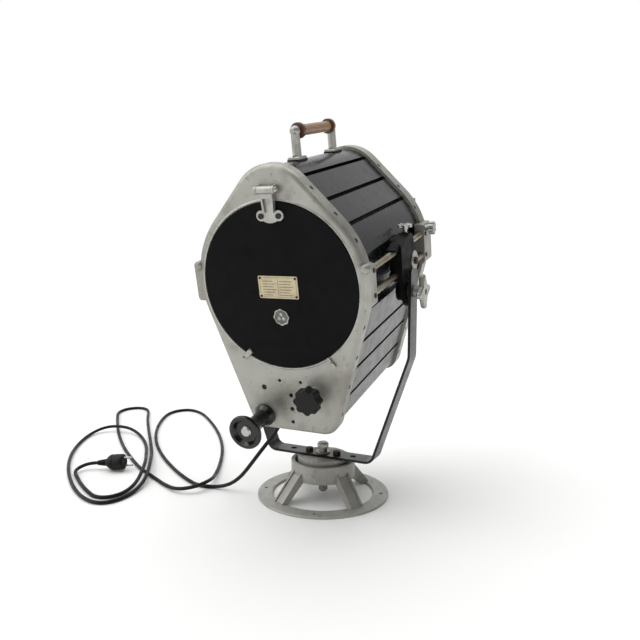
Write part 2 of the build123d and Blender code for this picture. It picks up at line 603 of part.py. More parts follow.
hinge_screws = [rod_y(side * 17.3, 183.4, DOOR_FACE - 6.5, DOOR_FACE - 4, 5)
                + rod_y(side * 17.3, 183.4, DOOR_FACE - 5, DOOR_FACE + 4, 2.4) for side in (-1, 1)]

name_plate = block(-40.2, 40.2, DOOR_FACE - 1.2, DOOR_FACE, 32.3, 74.3)
name_plate = fillet(name_plate.edges().filter_by(Axis.Y), 2.5)
save("name_plate", name_plate, HOUSE)
plate_screws = []
for x in (-36, 36):
    for z in (36.3, 70.3):
        plate_screws.append(rod_y(x, z, DOOR_FACE - 2.4, DOOR_FACE - 1.2, 2.2))
save("door_screws", hinge_screws + plate_screws, HOUSE)
badge = Pos(0, -3.7) * Ellipse(15, 17)
save("badge", chamfer(slab_y(badge, DOOR_FACE - 1.8, DOOR_FACE).edges().group_by(Axis.Y)[0], 0.6),
     HOUSE)


LATCH_BACK = DOOR_FACE - 0.2
button = slab_y(bar_plan(LATCH_LEFT, LATCH_TIP, 9.6), LATCH_BACK - 4, LATCH_BACK)
button += rod_y(*LATCH_LEFT, LATCH_BACK - 4, REAR_Y[0], 5.5)
save("latch_left", button - rod_y(*LATCH_LEFT, -220, -180, 2.3), HOUSE)
thin = Pos(*LATCH_RIGHT) * Rot(0, 0, -50.7) * SlotOverall(22, 4.5)
thin = slab_y(thin, LATCH_BACK - 4, LATCH_BACK) + rod_y(*LATCH_RIGHT, LATCH_BACK - 2, REAR_Y[0], 3.4)
save("latch_right", thin - rod_y(*LATCH_RIGHT, -220, -180, 1.6), HOUSE)
latch_screws = []
for (x, z), r in ((LATCH_LEFT, 2.0), (LATCH_RIGHT, 1.4)):
    screw = rod_y(x, z, LATCH_BACK - 5, REAR_Y[0] + 4, r)
    latch_screws.append(screw + rod_y(x, z, LATCH_BACK - 5.2, LATCH_BACK - 4.1, r + 0.6))
save("latch_screws", latch_screws, HOUSE)

# ---------------------------------------------------------------- lens end
steps = 9
lens_profile = [(0, 181), (LENS_R, 181), (LENS_R, 185)]
for i in range(steps):
    edge = LENS_R - 5 - i * 12.5
    lens_profile += [(edge, 185), (edge, 191.5 - 0.15 * i), (edge - 11.5, 192.0 - 0.15 * i)]
lens_profile += [(0, 185)]
lens_profile = [(r, h) for r, h in lens_profile if r >= 0]
lens_face = make_face(Polyline(*[(r, h, 0) for r, h in lens_profile], close=True))
lens = Pos(0, 0, AXIS_Z) * revolve(lens_face, axis=Axis.Y)
save("lens", lens, HOUSE)
lens_gasket = ring_y(0, AXIS_Z, 192.2, FRONT_Y[1] - 3, LENS_R, LENS_OPENING_R + 1)
save("lens_rings", [ring_y(0, AXIS_Z, 176, 181, LENS_R, 114), lens_gasket], HOUSE)
runner = block(132, 140, 200, 214, -50, 150) - block(120, 138, 202, 212, -60, 160)
runners = both_sides(runner)
low = block(-130, 130, 200, 214, -86, -78) - block(-140, 140, 202, 212, -84, -70)
save("colour_frame_runners", runners + [low], HOUSE)
lobed = Pos(EAR_X + 9, *ACCESSORY) * Rot(0, 90, 0) * star_knob(6, 14.0, 4.2, 11, 9.5)
lobed += rod_x(EAR_X + 0.2, EAR_X + 10, *ACCESSORY, 6.5) + rod_x(168, EAR_X + 9, *ACCESSORY, 4)
save("accessory_knob", lobed, HOUSE)

# ---------------------------------------------------------------- lamp tray
tray = block(-68, 68, -70, 50, -138, -134)
tray += block(GUIDE_X - 10, GUIDE_X + 10, -60, 40, GUIDE_Z - 9, -134)
tray -= rod_y(GUIDE_X, GUIDE_Z, -99, 99, 5.8)
tray += block(-68, -65, -70, 50, -138, -126) + block(65, 68, -70, 50, -138, -126)
tray += block(SCREW_X - 10, SCREW_X + 10, -15, 15, SCREW_Z - 10, -134)
tray -= rod_y(SCREW_X, SCREW_Z, -99, 99, 5.3)
tray += block(-12, 12, -68, -65, -134.1, AXIS_Z - 60) + block(-12, 12, -68, -66.2, -20, 50)
save("lamp_tray", tray, HOUSE)
holder = block(-30, 30, -25, 25, -134, -96)
holder = chamfer(holder.edges().group_by(Axis.Z)[-1], 4) - rod_z(-9, 0, -112, -90, 3.5)
save("lampholder", holder - rod_z(9, 0, -112, -90, 3.5), HOUSE)
lamp_base = rod_z(0, 0, -96, -72, 17) + rod_z(-9, 0, -110, -95, 3.2) + rod_z(9, 0, -110, -95, 3.2)
bulb_profile = [(0, -72), (14, -72), (19, -60), (19, 88), (15, 96), (8, 101), (0, 103)]
save("bulb", [turned(bulb_profile, (0, 0, 0)), lamp_base], HOUSE)
MIRROR_R = 78.0
mirror_cup = (Sphere(MIRROR_R) - Sphere(MIRROR_R - 2)) & block(-99, 99, -99, -48, -99, 99)
save("mirror", Pos(0, 12, AXIS_Z) * mirror_cup, HOUSE)

# ---------------------------------------------------------------- supply cord
CORD_UPPER = [(-55, -92.6, 167.6), (-66.2, -88.9, 149.6), (-82.8, -96.0, 126.4)]
CORD = [
    (-82.8, -96.0, 126.4), (-95.25, -101.325, 109), (-121, -97, 77), (-148, -90, 45),
    (-180, -81, 19), (-216, -77, 4.2), (-262, -90, 4.2), (-315, -64, 4.2),
    (-372, -28, 4.2), (-452, 32, 4.2), (-536, 110, 4.2), (-610, 200, 4.2),
    (-672, 302, 4.2), (-706, 392, 4.2), (-672, 444, 4.2), (-610, 424, 4.2),
    (-538, 362, 4.2), (-462, 286, 4.2), (-394, 206, 4.2), (-336, 122, 4.2),
    (-288, 34, 4.2), (-258, -28, 9), (-238, -72, 16), (-244, -122, 16),
    (-282, -138, 9), (-330, -118, 4.2), (-385, -88, 4.2), (-440, -62, 4.2),
    (-505, -18, 4.2), (-588, 46, 4.2), (-676, 126, 4.2), (-752, 205, 4.2),
    (-812, 272, 4.2), (-846, 312, 4.2), (-857, 350, 4.2), (-842, 385, 4.2),
    (-808, 395, 4.2), (-774, 372, 4.2), (-722, 302, 4.2), (-645, 212, 4.2),
    (-566, 124, 4.2), (-500, 48, 6), (-447, -22, 15), (-404, -82, 16),
    (-376, -134, 9), (-364, -184, 4.2), (-366, -228, 4.2), (-386, -256, 4.2),
    (-424, -256, 4.2), (-482, -228, 4.2), (-550, -178, 4.2), (-620, -114, 4.2),
    (-680, -44, 4.2), (-726, 28, 4.2), (-758, 98, 4.2), (-757, 142, 10),
    (-732, 163, 16), (-686, 171, 16), (-650, 166, 9), (-606, 140, 4.2),
    (-548, 86, 5), (-490, 14, 10), (-452, -34, 16), (-414, -92, 16),
    (-390, -140, 9), (-381, -184, 4.2), (-390, -222, 4.2), (-420, -236, 4.2),
    (-462, -216, 4.2), (-506, -189, 4.2), (-541, -164, 5), (-565, -147, 7),
    (-573.6, -130.7, 9), (-571.3, -113, 12), (-559.7, -99, 15), (-543.5, -94, 16.5),
]
save("cord_upper", swept_cord(CORD_UPPER))
save("cord", swept_cord(CORD))

first = Vector(*CORD_UPPER[0])
lead = (Vector(*CORD_UPPER[1]) - first).normalized()
cone = Plane(origin=first, z_dir=lead * -1) * Solid.make_cone(5.3, 8.5, 24)
foot_disc = HOUSE * rod_z(GLAND_FOOT[0], GLAND_FOOT[1], GLAND_FOOT[2] - 4, GLAND_FOOT[2], 10.3)
stem = HOUSE * rod_z(GLAND_FOOT[0], GLAND_FOOT[1], GLAND_FOOT[2], -229, 5.1)
above = HOUSE * block(-100, 100, -200, 0, GLAND_FOOT[2], -150)
save("cord_gland", (Part() + cone - above) + foot_disc + stem)

last = Vector(*CORD[-1])
tail = (last - Vector(*CORD[-2])).normalized()
plug_profile = [(0, 0), (5.5, 0), (7.5, 12), (9, 22), (15, 27), (18, 33), (18.6, 40), (18.6, 62),
                (17.5, 66), (0, 66)]
plug_frame = Plane(origin=last, z_dir=tail)
plug = plug_frame * turned(plug_profile, (0, 0, 0))
save("plug", plug)
pins = [plug_frame * Pos(0, side * 9.5, 66 + 9.5) * Cylinder(2.4, 19) for side in (-1, 1)]
save("plug_pins", pins)
print("plug low point", plug.bounding_box().min.Z)
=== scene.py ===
"""Looks for the follow spot: camera, cords, finishes, fine pieces, floor and light."""
import json
from math import cos, pi, radians, sin

import bmesh
import bpy
from mathutils import Matrix, Vector


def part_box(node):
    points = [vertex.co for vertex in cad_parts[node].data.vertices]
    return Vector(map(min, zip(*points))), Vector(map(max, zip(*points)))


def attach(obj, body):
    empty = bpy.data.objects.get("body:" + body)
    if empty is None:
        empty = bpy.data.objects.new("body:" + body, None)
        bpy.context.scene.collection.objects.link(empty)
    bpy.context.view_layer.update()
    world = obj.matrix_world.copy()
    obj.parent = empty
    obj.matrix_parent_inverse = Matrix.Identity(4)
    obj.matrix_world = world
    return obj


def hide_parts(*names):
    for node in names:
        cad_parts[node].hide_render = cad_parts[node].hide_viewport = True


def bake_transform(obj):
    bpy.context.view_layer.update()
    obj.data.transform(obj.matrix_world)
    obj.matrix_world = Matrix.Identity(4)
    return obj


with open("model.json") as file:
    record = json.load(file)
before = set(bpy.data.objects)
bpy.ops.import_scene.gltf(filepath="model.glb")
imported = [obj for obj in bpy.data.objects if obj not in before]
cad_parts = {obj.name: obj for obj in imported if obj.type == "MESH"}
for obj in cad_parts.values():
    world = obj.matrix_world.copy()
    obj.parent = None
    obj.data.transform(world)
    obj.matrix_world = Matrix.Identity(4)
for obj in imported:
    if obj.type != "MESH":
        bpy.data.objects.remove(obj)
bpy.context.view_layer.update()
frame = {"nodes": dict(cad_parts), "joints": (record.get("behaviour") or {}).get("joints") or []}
nodes = frame["nodes"]
joints = {joint["name"]: joint for joint in frame["joints"]}

# ---------------------------------------------------------------- the frame's own places
PIVOT = Vector(joints["tilt"]["pos_m"])
HOUSE_Y = Vector(joints["balance_slide"]["axis"])
HOUSE_X = Vector((1, 0, 0))
HOUSE_Z = HOUSE_X.cross(HOUSE_Y)
HOUSE = Matrix.Translation(PIVOT) @ Matrix((HOUSE_X, HOUSE_Y, HOUSE_Z)).transposed().to_4x4()
MM = 0.001


def house(x, y, z):
    """World place of a point given in millimetres in the lamp house's own level frame."""
    return HOUSE @ Vector((x * MM, y * MM, z * MM))


def house_box(node):
    """Lowest and highest corner of a node in the house frame, in millimetres."""
    points = [HOUSE.inverted() @ v.co for v in nodes[node].data.vertices]
    low = [min(p[i] for p in points) / MM for i in range(3)]
    high = [max(p[i] for p in points) / MM for i in range(3)]
    return low, high


# ---------------------------------------------------------------- camera
CAMERA_PLACE = (0.5784, -1.2587, 0.5486)
CAMERA_PITCH = 82.88
CAMERA_HEADING = 24.95
SENSOR_WIDTH = 36
LENS = 37.56


def make_camera():
    """Camera behind the lamp and to its right, at the photograph's viewing angle."""
    data = bpy.data.cameras.new("camera")
    data.sensor_width = SENSOR_WIDTH
    data.lens = LENS
    camera = bpy.data.objects.new("camera", data)
    camera.location = CAMERA_PLACE
    camera.rotation_euler = (radians(CAMERA_PITCH), 0, radians(CAMERA_HEADING))
    bpy.context.scene.collection.objects.link(camera)
    bpy.context.scene.camera = camera


make_camera()


# ---------------------------------------------------------------- node materials
# Sockets of the colour mix node, whose names repeat those of its number and vector sockets.
MIX_FIRST, MIX_SECOND, MIX_RESULT = 6, 7, 2
GLOSS_SCALE = 45.0
GLOSS_EDGES = (0.3, 0.7)
BUMP_EDGES = (0.25, 0.75)
NOISE_DETAIL = 4.0
COAT_ROUGHNESS = 0.15
SMOOTHEST, ROUGHEST = 0.02, 1.0


def map_range(tree, value, **limits):
    """Map Range node on a value, with its limits given as from_min, from_max, to_min, to_max."""
    node = tree.nodes.new("ShaderNodeMapRange")
    for key, number in limits.items():
        node.inputs[key.replace("_", " ").title()].default_value = number
    tree.links.new(value, node.inputs["Value"])
    return node


def math_node(tree, operation, first, second):
    """Result of an operation on a value and either a second value or a number."""
    node = tree.nodes.new("ShaderNodeMath")
    node.operation = operation
    tree.links.new(first, node.inputs[0])
    if isinstance(second, float):
        node.inputs[1].default_value = second
    else:
        tree.links.new(second, node.inputs[1])
    return node.outputs[0]


def noise_mask(tree, place, scale, edges, stretch):
    """Noise turned into a 0 to 1 mask that rises between two edges."""
    mapping = tree.nodes.new("ShaderNodeMapping")
    mapping.inputs["Scale"].default_value = stretch
    tree.links.new(place, mapping.inputs["Vector"])
    noise = tree.nodes.new("ShaderNodeTexNoise")
    noise.inputs["Scale"].default_value = scale
    noise.inputs["Detail"].default_value = NOISE_DETAIL
    tree.links.new(mapping.outputs["Vector"], noise.inputs["Vector"])
    start, end = edges
    return map_range(tree, noise.outputs["Fac"], from_min=start, from_max=end).outputs["Result"]


def finish(name, base, stains, bumps, rough, metallic=0.0, spread=0.12, coat=0.0, glass=0.0,
           specular=0.5, ior=1.5, stretch=(1, 1, 1)):
    """A worn surface of a base colour.

    stains are rows of (noise scale, colour, lower edge, upper edge, strength), laid one over
    another, and bumps are rows of (noise scale, height in metres). spread is how far the
    roughness strays from rough, and stretch draws the noise out along an axis.
    """
    material = bpy.data.materials.new(name)
    material.use_nodes = True
    tree = material.node_tree
    shader = tree.nodes["Principled BSDF"]
    shader.inputs["Metallic"].default_value = metallic
    shader.inputs["Coat Weight"].default_value = coat
    shader.inputs["Coat Roughness"].default_value = COAT_ROUGHNESS
    shader.inputs["IOR"].default_value = ior
    shader.inputs["Transmission Weight"].default_value = glass
    shader.inputs["Specular IOR Level"].default_value = specular
    place = tree.nodes.new("ShaderNodeTexCoord").outputs["Object"]
    colour = None
    for scale, tint, start, end, strength in stains:
        mask = noise_mask(tree, place, scale, (start, end), stretch)
        mix = tree.nodes.new("ShaderNodeMix")
        mix.data_type = "RGBA"
        tree.links.new(math_node(tree, "MULTIPLY", mask, strength), mix.inputs[0])
        if colour is None:
            mix.inputs[MIX_FIRST].default_value = (*base, 1)
        else:
            tree.links.new(colour, mix.inputs[MIX_FIRST])
        mix.inputs[MIX_SECOND].default_value = (*tint, 1)
        colour = mix.outputs[MIX_RESULT]
    tree.links.new(colour, shader.inputs["Base Color"])
    gloss = map_range(tree, noise_mask(tree, place, GLOSS_SCALE, GLOSS_EDGES, stretch),
                      to_min=max(SMOOTHEST, rough - spread), to_max=min(ROUGHEST, rough + spread))
    tree.links.new(gloss.outputs["Result"], shader.inputs["Roughness"])
    normal = None
    for scale, height in bumps:
        bump = tree.nodes.new("ShaderNodeBump")
        bump.inputs["Distance"].default_value = height
        tree.links.new(noise_mask(tree, place, scale, BUMP_EDGES, stretch), bump.inputs["Height"])
        if normal is not None:
            tree.links.new(normal, bump.inputs["Normal"])
        normal = bump.outputs["Normal"]
    tree.links.new(normal, shader.inputs["Normal"])
    return material


GRIME = (0.13, 0.12, 0.095)
RUST = (0.16, 0.06, 0.02)
finishes = {
    "cast": finish("cast_aluminium", (0.39, 0.387, 0.355), rough=0.40, metallic=0.6,
                   stains=((4.0, (0.27, 0.262, 0.225), 0.40, 0.62, 0.85),
                           (17.0, (0.22, 0.21, 0.175), 0.52, 0.70, 0.7),
                           (75.0, GRIME, 0.62, 0.76, 0.6),
                           (320.0, (0.52, 0.515, 0.49), 0.55, 0.72, 0.35)),
                   bumps=((900.0, 0.00008), (140.0, 0.0002), (16.0, 0.0007))),
    "base": finish("base_cast", (0.37, 0.367, 0.34), rough=0.46, metallic=0.3,
                   stains=((9.0, (0.30, 0.295, 0.26), 0.42, 0.62, 0.8),
                           (45.0, GRIME, 0.58, 0.74, 0.55),
                           (260.0, (0.62, 0.61, 0.58), 0.58, 0.72, 0.4)),
                   bumps=((700.0, 0.00015), (120.0, 0.0004))),
    "enamel": finish("black_enamel", (0.008, 0.009, 0.011), rough=0.24,
                     stains=((4.0, (0.018, 0.020, 0.023), 0.40, 0.70, 0.85),
                             (60.0, (0.050, 0.048, 0.044), 0.68, 0.84, 0.35),
                             (420.0, (0.12, 0.115, 0.10), 0.76, 0.84, 0.3)),
                     bumps=((260.0, 0.00001), (9.0, 0.00015)), spread=0.06),
    # Lower slats and bottom plate: the black enamel of the upper slats, made lighter grey as a
    # painted reflection of the bright floor, with scuffs and specks laid over it.
    "enamel_painted_reflection": finish("worn_enamel_and_painted_reflection", (0.10, 0.101, 0.102), rough=0.36, metallic=0.35,
                    stains=((5.0, (0.16, 0.162, 0.162), 0.40, 0.70, 0.8),
                            (40.0, (0.055, 0.055, 0.055), 0.62, 0.80, 0.5),
                            (300.0, (0.24, 0.24, 0.23), 0.66, 0.80, 0.35)),
                    bumps=((260.0, 0.00003), (16.0, 0.0003)), ior=1.75, spread=0.08),
    "door": finish("black_door", (0.0030, 0.0032, 0.0038), rough=0.55,
                   stains=((5.0, (0.0046, 0.0049, 0.0055), 0.4, 0.7, 0.8),
                           (150.0, (0.022, 0.021, 0.020), 0.70, 0.82, 0.45)),
                   bumps=((500.0, 0.00003), (20.0, 0.0003)), specular=0.08),
    "strap": finish("black_strap", (0.0035, 0.0038, 0.0042), rough=0.27,
                    stains=((14.0, (0.007, 0.0075, 0.008), 0.4, 0.66, 0.8),
                            (150.0, (0.08, 0.075, 0.07), 0.72, 0.84, 0.35)),
                    bumps=((380.0, 0.00001),), spread=0.06, specular=0.34),
    "black_cast": finish("black_cast", (0.003, 0.0033, 0.0033), rough=0.5,
                         stains=((22.0, (0.008, 0.0085, 0.008), 0.45, 0.65, 0.8),
                                 (130.0, (0.05, 0.046, 0.038), 0.70, 0.82, 0.4)),
                         bumps=((520.0, 0.00004), (60.0, 0.0001)), specular=0.06),
    "steel": finish("bright_steel", (0.48, 0.475, 0.455), rough=0.32, metallic=0.9,
                    stains=((60.0, (0.32, 0.295, 0.255), 0.5, 0.7, 0.7),
                            (260.0, (0.16, 0.13, 0.10), 0.64, 0.76, 0.5)),
                    bumps=((900.0, 0.00004), (180.0, 0.0001))),
    "dull": finish("dull_steel", (0.32, 0.305, 0.275), rough=0.42, metallic=0.75,
                   stains=((90.0, (0.15, 0.12, 0.085), 0.48, 0.66, 0.7),
                           (400.0, (0.34, 0.32, 0.28), 0.62, 0.74, 0.4)),
                   bumps=((700.0, 0.00008),)),
    "dark_rust": finish("dark_rust", (0.035, 0.016, 0.011), rough=0.65, metallic=0.2,
                        stains=((160.0, (0.085, 0.035, 0.018), 0.45, 0.66, 0.8),
                                (500.0, (0.012, 0.009, 0.008), 0.55, 0.7, 0.7)),
                        bumps=((700.0, 0.00012),)),
    "rusty": finish("rusty_rod", (0.36, 0.335, 0.265), rough=0.36, metallic=0.75,
                    stains=((22.0, (0.22, 0.18, 0.115), 0.4, 0.6, 0.9),
                            (80.0, RUST, 0.60, 0.72, 0.7),
                            (420.0, (0.50, 0.47, 0.40), 0.60, 0.72, 0.4)),
                    bumps=((500.0, 0.00008),)),
    # Polished alloy of the knobs, latches and hinge arm; on the door lip the same brighter finish
    # is a painted highlight.
    "alloy": finish("polished_alloy", (0.42, 0.42, 0.39), rough=0.34, metallic=0.7,
                    stains=((40.0, (0.30, 0.295, 0.26), 0.45, 0.66, 0.8),
                            (210.0, GRIME, 0.64, 0.78, 0.45)),
                    bumps=((800.0, 0.00006), (90.0, 0.0002))),
    "grip_wood": finish("varnished_wood", (0.27, 0.135, 0.06), rough=0.40,
                        stains=((34.0, (0.35, 0.20, 0.10), 0.35, 0.65, 0.9),
                                (110.0, (0.18, 0.07, 0.03), 0.56, 0.72, 0.7)),
                        bumps=((260.0, 0.00012),), coat=0.3, stretch=(6, 0.5, 6)),
    "collar": finish("brown_collar", (0.075, 0.026, 0.014), rough=0.36,
                     stains=((50.0, (0.15, 0.055, 0.028), 0.45, 0.65, 0.8),
                             (300.0, (0.03, 0.012, 0.008), 0.55, 0.7, 0.6)),
                     bumps=((300.0, 0.00008),), coat=0.3),
    "bakelite": finish("dark_bakelite", (0.005, 0.0045, 0.0046), rough=0.38,
                       stains=((45.0, (0.015, 0.013, 0.012), 0.45, 0.68, 0.8),
                               (260.0, (0.07, 0.06, 0.05), 0.70, 0.82, 0.45)),
                       bumps=((420.0, 0.00008), (80.0, 0.0002)), specular=0.22),
    "phenolic": finish("black_phenolic", (0.004, 0.004, 0.0045), rough=0.16,
                       stains=((60.0, (0.010, 0.010, 0.010), 0.5, 0.7, 0.7),
                               (500.0, (0.05, 0.05, 0.05), 0.74, 0.82, 0.4)),
                       bumps=((320.0, 0.00003),), spread=0.07),
    "rubber": finish("black_rubber", (0.0035, 0.0035, 0.004), rough=0.5,
                     stains=((50.0, (0.007, 0.007, 0.0068), 0.45, 0.68, 0.8),
                             (600.0, (0.03, 0.029, 0.027), 0.72, 0.82, 0.3)),
                     bumps=((900.0, 0.00004),), specular=0.25),
    "fibre": finish("friction_fibre", (0.045, 0.038, 0.032), rough=0.7,
                    stains=((220.0, (0.10, 0.08, 0.06), 0.5, 0.7, 0.7),),
                    bumps=((900.0, 0.00015),)),
    "brass": finish("dull_brass", (0.50, 0.38, 0.18), rough=0.35, metallic=0.9,
                    stains=((120.0, (0.25, 0.19, 0.10), 0.5, 0.7, 0.8),),
                    bumps=((700.0, 0.00005),)),
    "lens_glass": finish("lens_glass", (0.93, 0.97, 0.95), rough=0.06,
                         stains=((25.0, (0.82, 0.88, 0.84), 0.5, 0.75, 0.5),),
                         bumps=((20.0, 0.00003),), spread=0.04, glass=0.92),
    "silver": finish("mirror_silver", (0.88, 0.88, 0.86), rough=0.08, metallic=1.0,
                     stains=((40.0, (0.6, 0.58, 0.5), 0.6, 0.75, 0.6),),
                     bumps=((12.0, 0.00003),), spread=0.05),
    "ceramic": finish("unglazed_ceramic", (0.72, 0.68, 0.58), rough=0.6,
                      stains=((50.0, (0.45, 0.38, 0.28), 0.55, 0.72, 0.7),),
                      bumps=((900.0, 0.0001),)),
    "plate": finish("name_plate", (0.56, 0.49, 0.33), rough=0.42, metallic=0.3,
                    stains=((60.0, (0.44, 0.37, 0.23), 0.45, 0.68, 0.8),
                            (300.0, (0.22, 0.17, 0.09), 0.62, 0.76, 0.55)),
                    bumps=((900.0, 0.00004),)),
    "badge": finish("cast_badge", (0.13, 0.125, 0.11), rough=0.5, metallic=0.6,
                    stains=((90.0, (0.20, 0.195, 0.175), 0.45, 0.66, 0.8),
                            (300.0, (0.05, 0.047, 0.04), 0.55, 0.70, 0.7)),
                    bumps=((500.0, 0.0001),)),
    "plate_ink": finish("plate_ink", (0.16, 0.125, 0.075), rough=0.5, metallic=0.2,
                        stains=((400.0, (0.38, 0.32, 0.21), 0.45, 0.64, 0.8),),
                        bumps=((900.0, 0.00002),)),
    # Dark iron of the lens rings and screws; on the inner baffle its near black is painted shade
    # in the gaps between the slats.
    "dark_iron": finish("dark_iron", (0.010, 0.010, 0.010), rough=0.6, metallic=0.1,
                        stains=((40.0, (0.022, 0.021, 0.019), 0.45, 0.68, 0.8),),
                        bumps=((400.0, 0.0001),)),
}

NODE_FINISH = {
    "base": ["base_casting", "turntable_disc"],
    "brass": ["thrust_washer"],
    "dull": ["pan_bolt", "pan_washer", "handle_screws", "latch_screws", "lamp_tray",
             "focus_screw", "pan_nut"],
    "dark_rust": ["strap_bolts", "guide_rod", "ear_set_screws"],
    "strap": ["yoke", "colour_frame_runners"],
    "black_cast": ["pivot_carriage_left", "pivot_carriage_right"],
    "steel": ["pivot_studs", "thumb_screw_left", "thumb_screw_right", "hinge_pin",
              "guide_grip_bolt", "plug_pins"],
    "badge": ["badge"],
    "fibre": ["friction_discs"],
    "alloy": ["tilt_knob_left", "tilt_knob_right", "handle_posts", "accessory_knob", "lock_discs",
              "hinge_arm", "latch_left", "latch_right"],
    "cast": ["rear_casting", "front_casting"],
    "rusty": ["balance_rods"],
    "enamel": ["top_cap", "upper_slats", "side_panels"],
    # Lighter grey enamel on the lower slats and bottom plate: a painted reflection of the floor.
    "enamel_painted_reflection": ["lower_slats", "bottom_plate"],
    # The inner baffle's near black is painted shade seen through the slat gaps.
    "dark_iron": ["inner_baffle", "lens_rings", "rim_screws", "door_screws"],
    "rubber": ["handle_gaskets", "cord", "cord_upper", "plug"],
    "collar": ["handle_collars"],
    "grip_wood": ["handle_grip"],
    "phenolic": ["guide_grip", "cord_gland"],
    "bakelite": ["focus_knob"],
    "door": ["rear_door"],
    "plate": ["name_plate"],
    "lens_glass": ["lens", "bulb"],
    "silver": ["mirror"],
    "ceramic": ["lampholder"],
}
# Width of the eased edges in mm; nodes that aren't named keep their edges as they are.
EDGE_WIDTH = {
    "base_casting": 1.4, "rear_casting": 1.0, "front_casting": 1.0, "yoke": 0.8,
    "pivot_carriage_left": 2.2, "pivot_carriage_right": 2.2, "hinge_arm": 1.4,
    "turntable_disc": 0.8, "tilt_knob_left": 1.2, "tilt_knob_right": 1.2, "focus_knob": 1.0,
    "handle_collars": 3.0, "handle_posts": 0.8, "thumb_screw_left": 0.8,
    "thumb_screw_right": 0.8, "accessory_knob": 0.8, "pan_bolt": 0.6, "pan_nut": 0.8,
    "strap_bolts": 0.7, "lock_discs": 0.5, "latch_left": 0.8, "latch_right": 0.6,
    "lower_slats": 0.4, "upper_slats": 0.4, "lampholder": 1.0,
}
EDGE_SEGMENTS = 3
EDGE_ANGLE = 38


def dress(name, key):
    """Give a CAD node its finish, and eased edges where it has sharp ones."""
    node = nodes[name]
    node.data.materials.clear()
    node.data.materials.append(finishes[key])
    width = EDGE_WIDTH.get(name)
    if width:
        bevel = node.modifiers.new("eased_edges", "BEVEL")
        bevel.width = width * MM
        bevel.segments = EDGE_SEGMENTS
        bevel.limit_method = "ANGLE"
        bevel.angle_limit = radians(EDGE_ANGLE)
        bevel.harden_normals = True


for key, names in NODE_FINISH.items():
    for name in names:
        dress(name, key)


# ---------------------------------------------------------------- mesh helpers
SAME_PLACE = 1e-7
SHARP_ANGLE = 35


def mesh_piece(name, shape, key, body=None):
    """A mesh object with a finish in its material slot; one given a body rides on that body."""
    verts, faces = shape
    mesh = bpy.data.meshes.new(name)
    mesh.from_pydata([tuple(v) for v in verts], [], faces)
    mesh.validate()
    tidy = bmesh.new()
    tidy.from_mesh(mesh)
    bmesh.ops.remove_doubles(tidy, verts=tidy.verts, dist=SAME_PLACE)
    bmesh.ops.recalc_face_normals(tidy, faces=tidy.faces)
    tidy.to_mesh(mesh)
    tidy.free()
    mesh.shade_smooth()
    mesh.set_sharp_from_angle(angle=radians(SHARP_ANGLE))
    piece = bpy.data.objects.new(name, mesh)
    piece.data.materials.append(finishes[key])
    bpy.context.scene.collection.objects.link(piece)
    if body:
        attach(piece, body)
    return piece


def skin(rings, turns):
    """Faces between one ring of points and the next."""
    faces = []
    for ring in range(rings - 1):
        for i in range(turns):
            a = ring * turns + i
            b = ring * turns + (i + 1) % turns
            faces.append((a, b, b + turns, a + turns))
    return faces


def lathe(profile, centre, axis, turns=48, wave=None, ends="caps"):
    """Points and faces of a turned form.

    profile is rows of (radius, height along the axis) in mm. wave gives a factor for the radius
    from the angle, radius and height. The ends get caps, are joined to each other or stay open.
    """
    axis = Vector(axis).normalized()
    side = axis.orthogonal().normalized()
    other = axis.cross(side)
    verts = []
    for r, h in profile:
        for i in range(turns):
            angle = 2 * pi * i / turns
            reach = r * (wave(angle, r, h) if wave else 1.0)
            verts.append(centre + (side * cos(angle) + other * sin(angle)) * reach * MM
                         + axis * h * MM)
    faces = skin(len(profile), turns)
    last = (len(profile) - 1) * turns
    if ends == "caps":
        faces.append(tuple(range(turns)))
        faces.append(tuple(range(last, last + turns))[::-1])
    elif ends == "joined":
        for i in range(turns):
            after = (i + 1) % turns
            faces.append((i, last + i, last + after, after))
    return verts, faces


def tube_along(points, radius, turns):
    """Points and faces of a round tube that follows a line, with capped ends."""
    verts = []
    side = None
    count = len(points)
    for i, point in enumerate(points):
        ahead = points[min(i + 1, count - 1)] - points[max(i - 1, 0)]
        ahead.normalize()
        side = ahead.orthogonal().normalized() if side is None else side
        side = (side - ahead * side.dot(ahead)).normalized()
        other = ahead.cross(side)
        for j in range(turns):
            angle = 2 * pi * j / turns
            verts.append(point + (side * cos(angle) + other * sin(angle)) * radius)
    faces = skin(count, turns)
    last = (count - 1) * turns
    faces.append(tuple(range(turns))[::-1])
    faces.append(tuple(range(last, last + turns)))
    return verts, faces


def join(shapes):
    """Several (points, faces) shapes as one."""
    verts, faces = [], []
    for points, sides in shapes:
        first = len(verts)
        verts += points
        faces += [tuple(first + i for i in face) for face in sides]
    return verts, faces


# ---------------------------------------------------------------- supply cord
CORD_DIAMETER = 0.008
CORD_TURNS = 14
ROUTE_STEPS = 12
# Height of the cord's centre where it lies on the floor, in mm.
LIE = 4.2
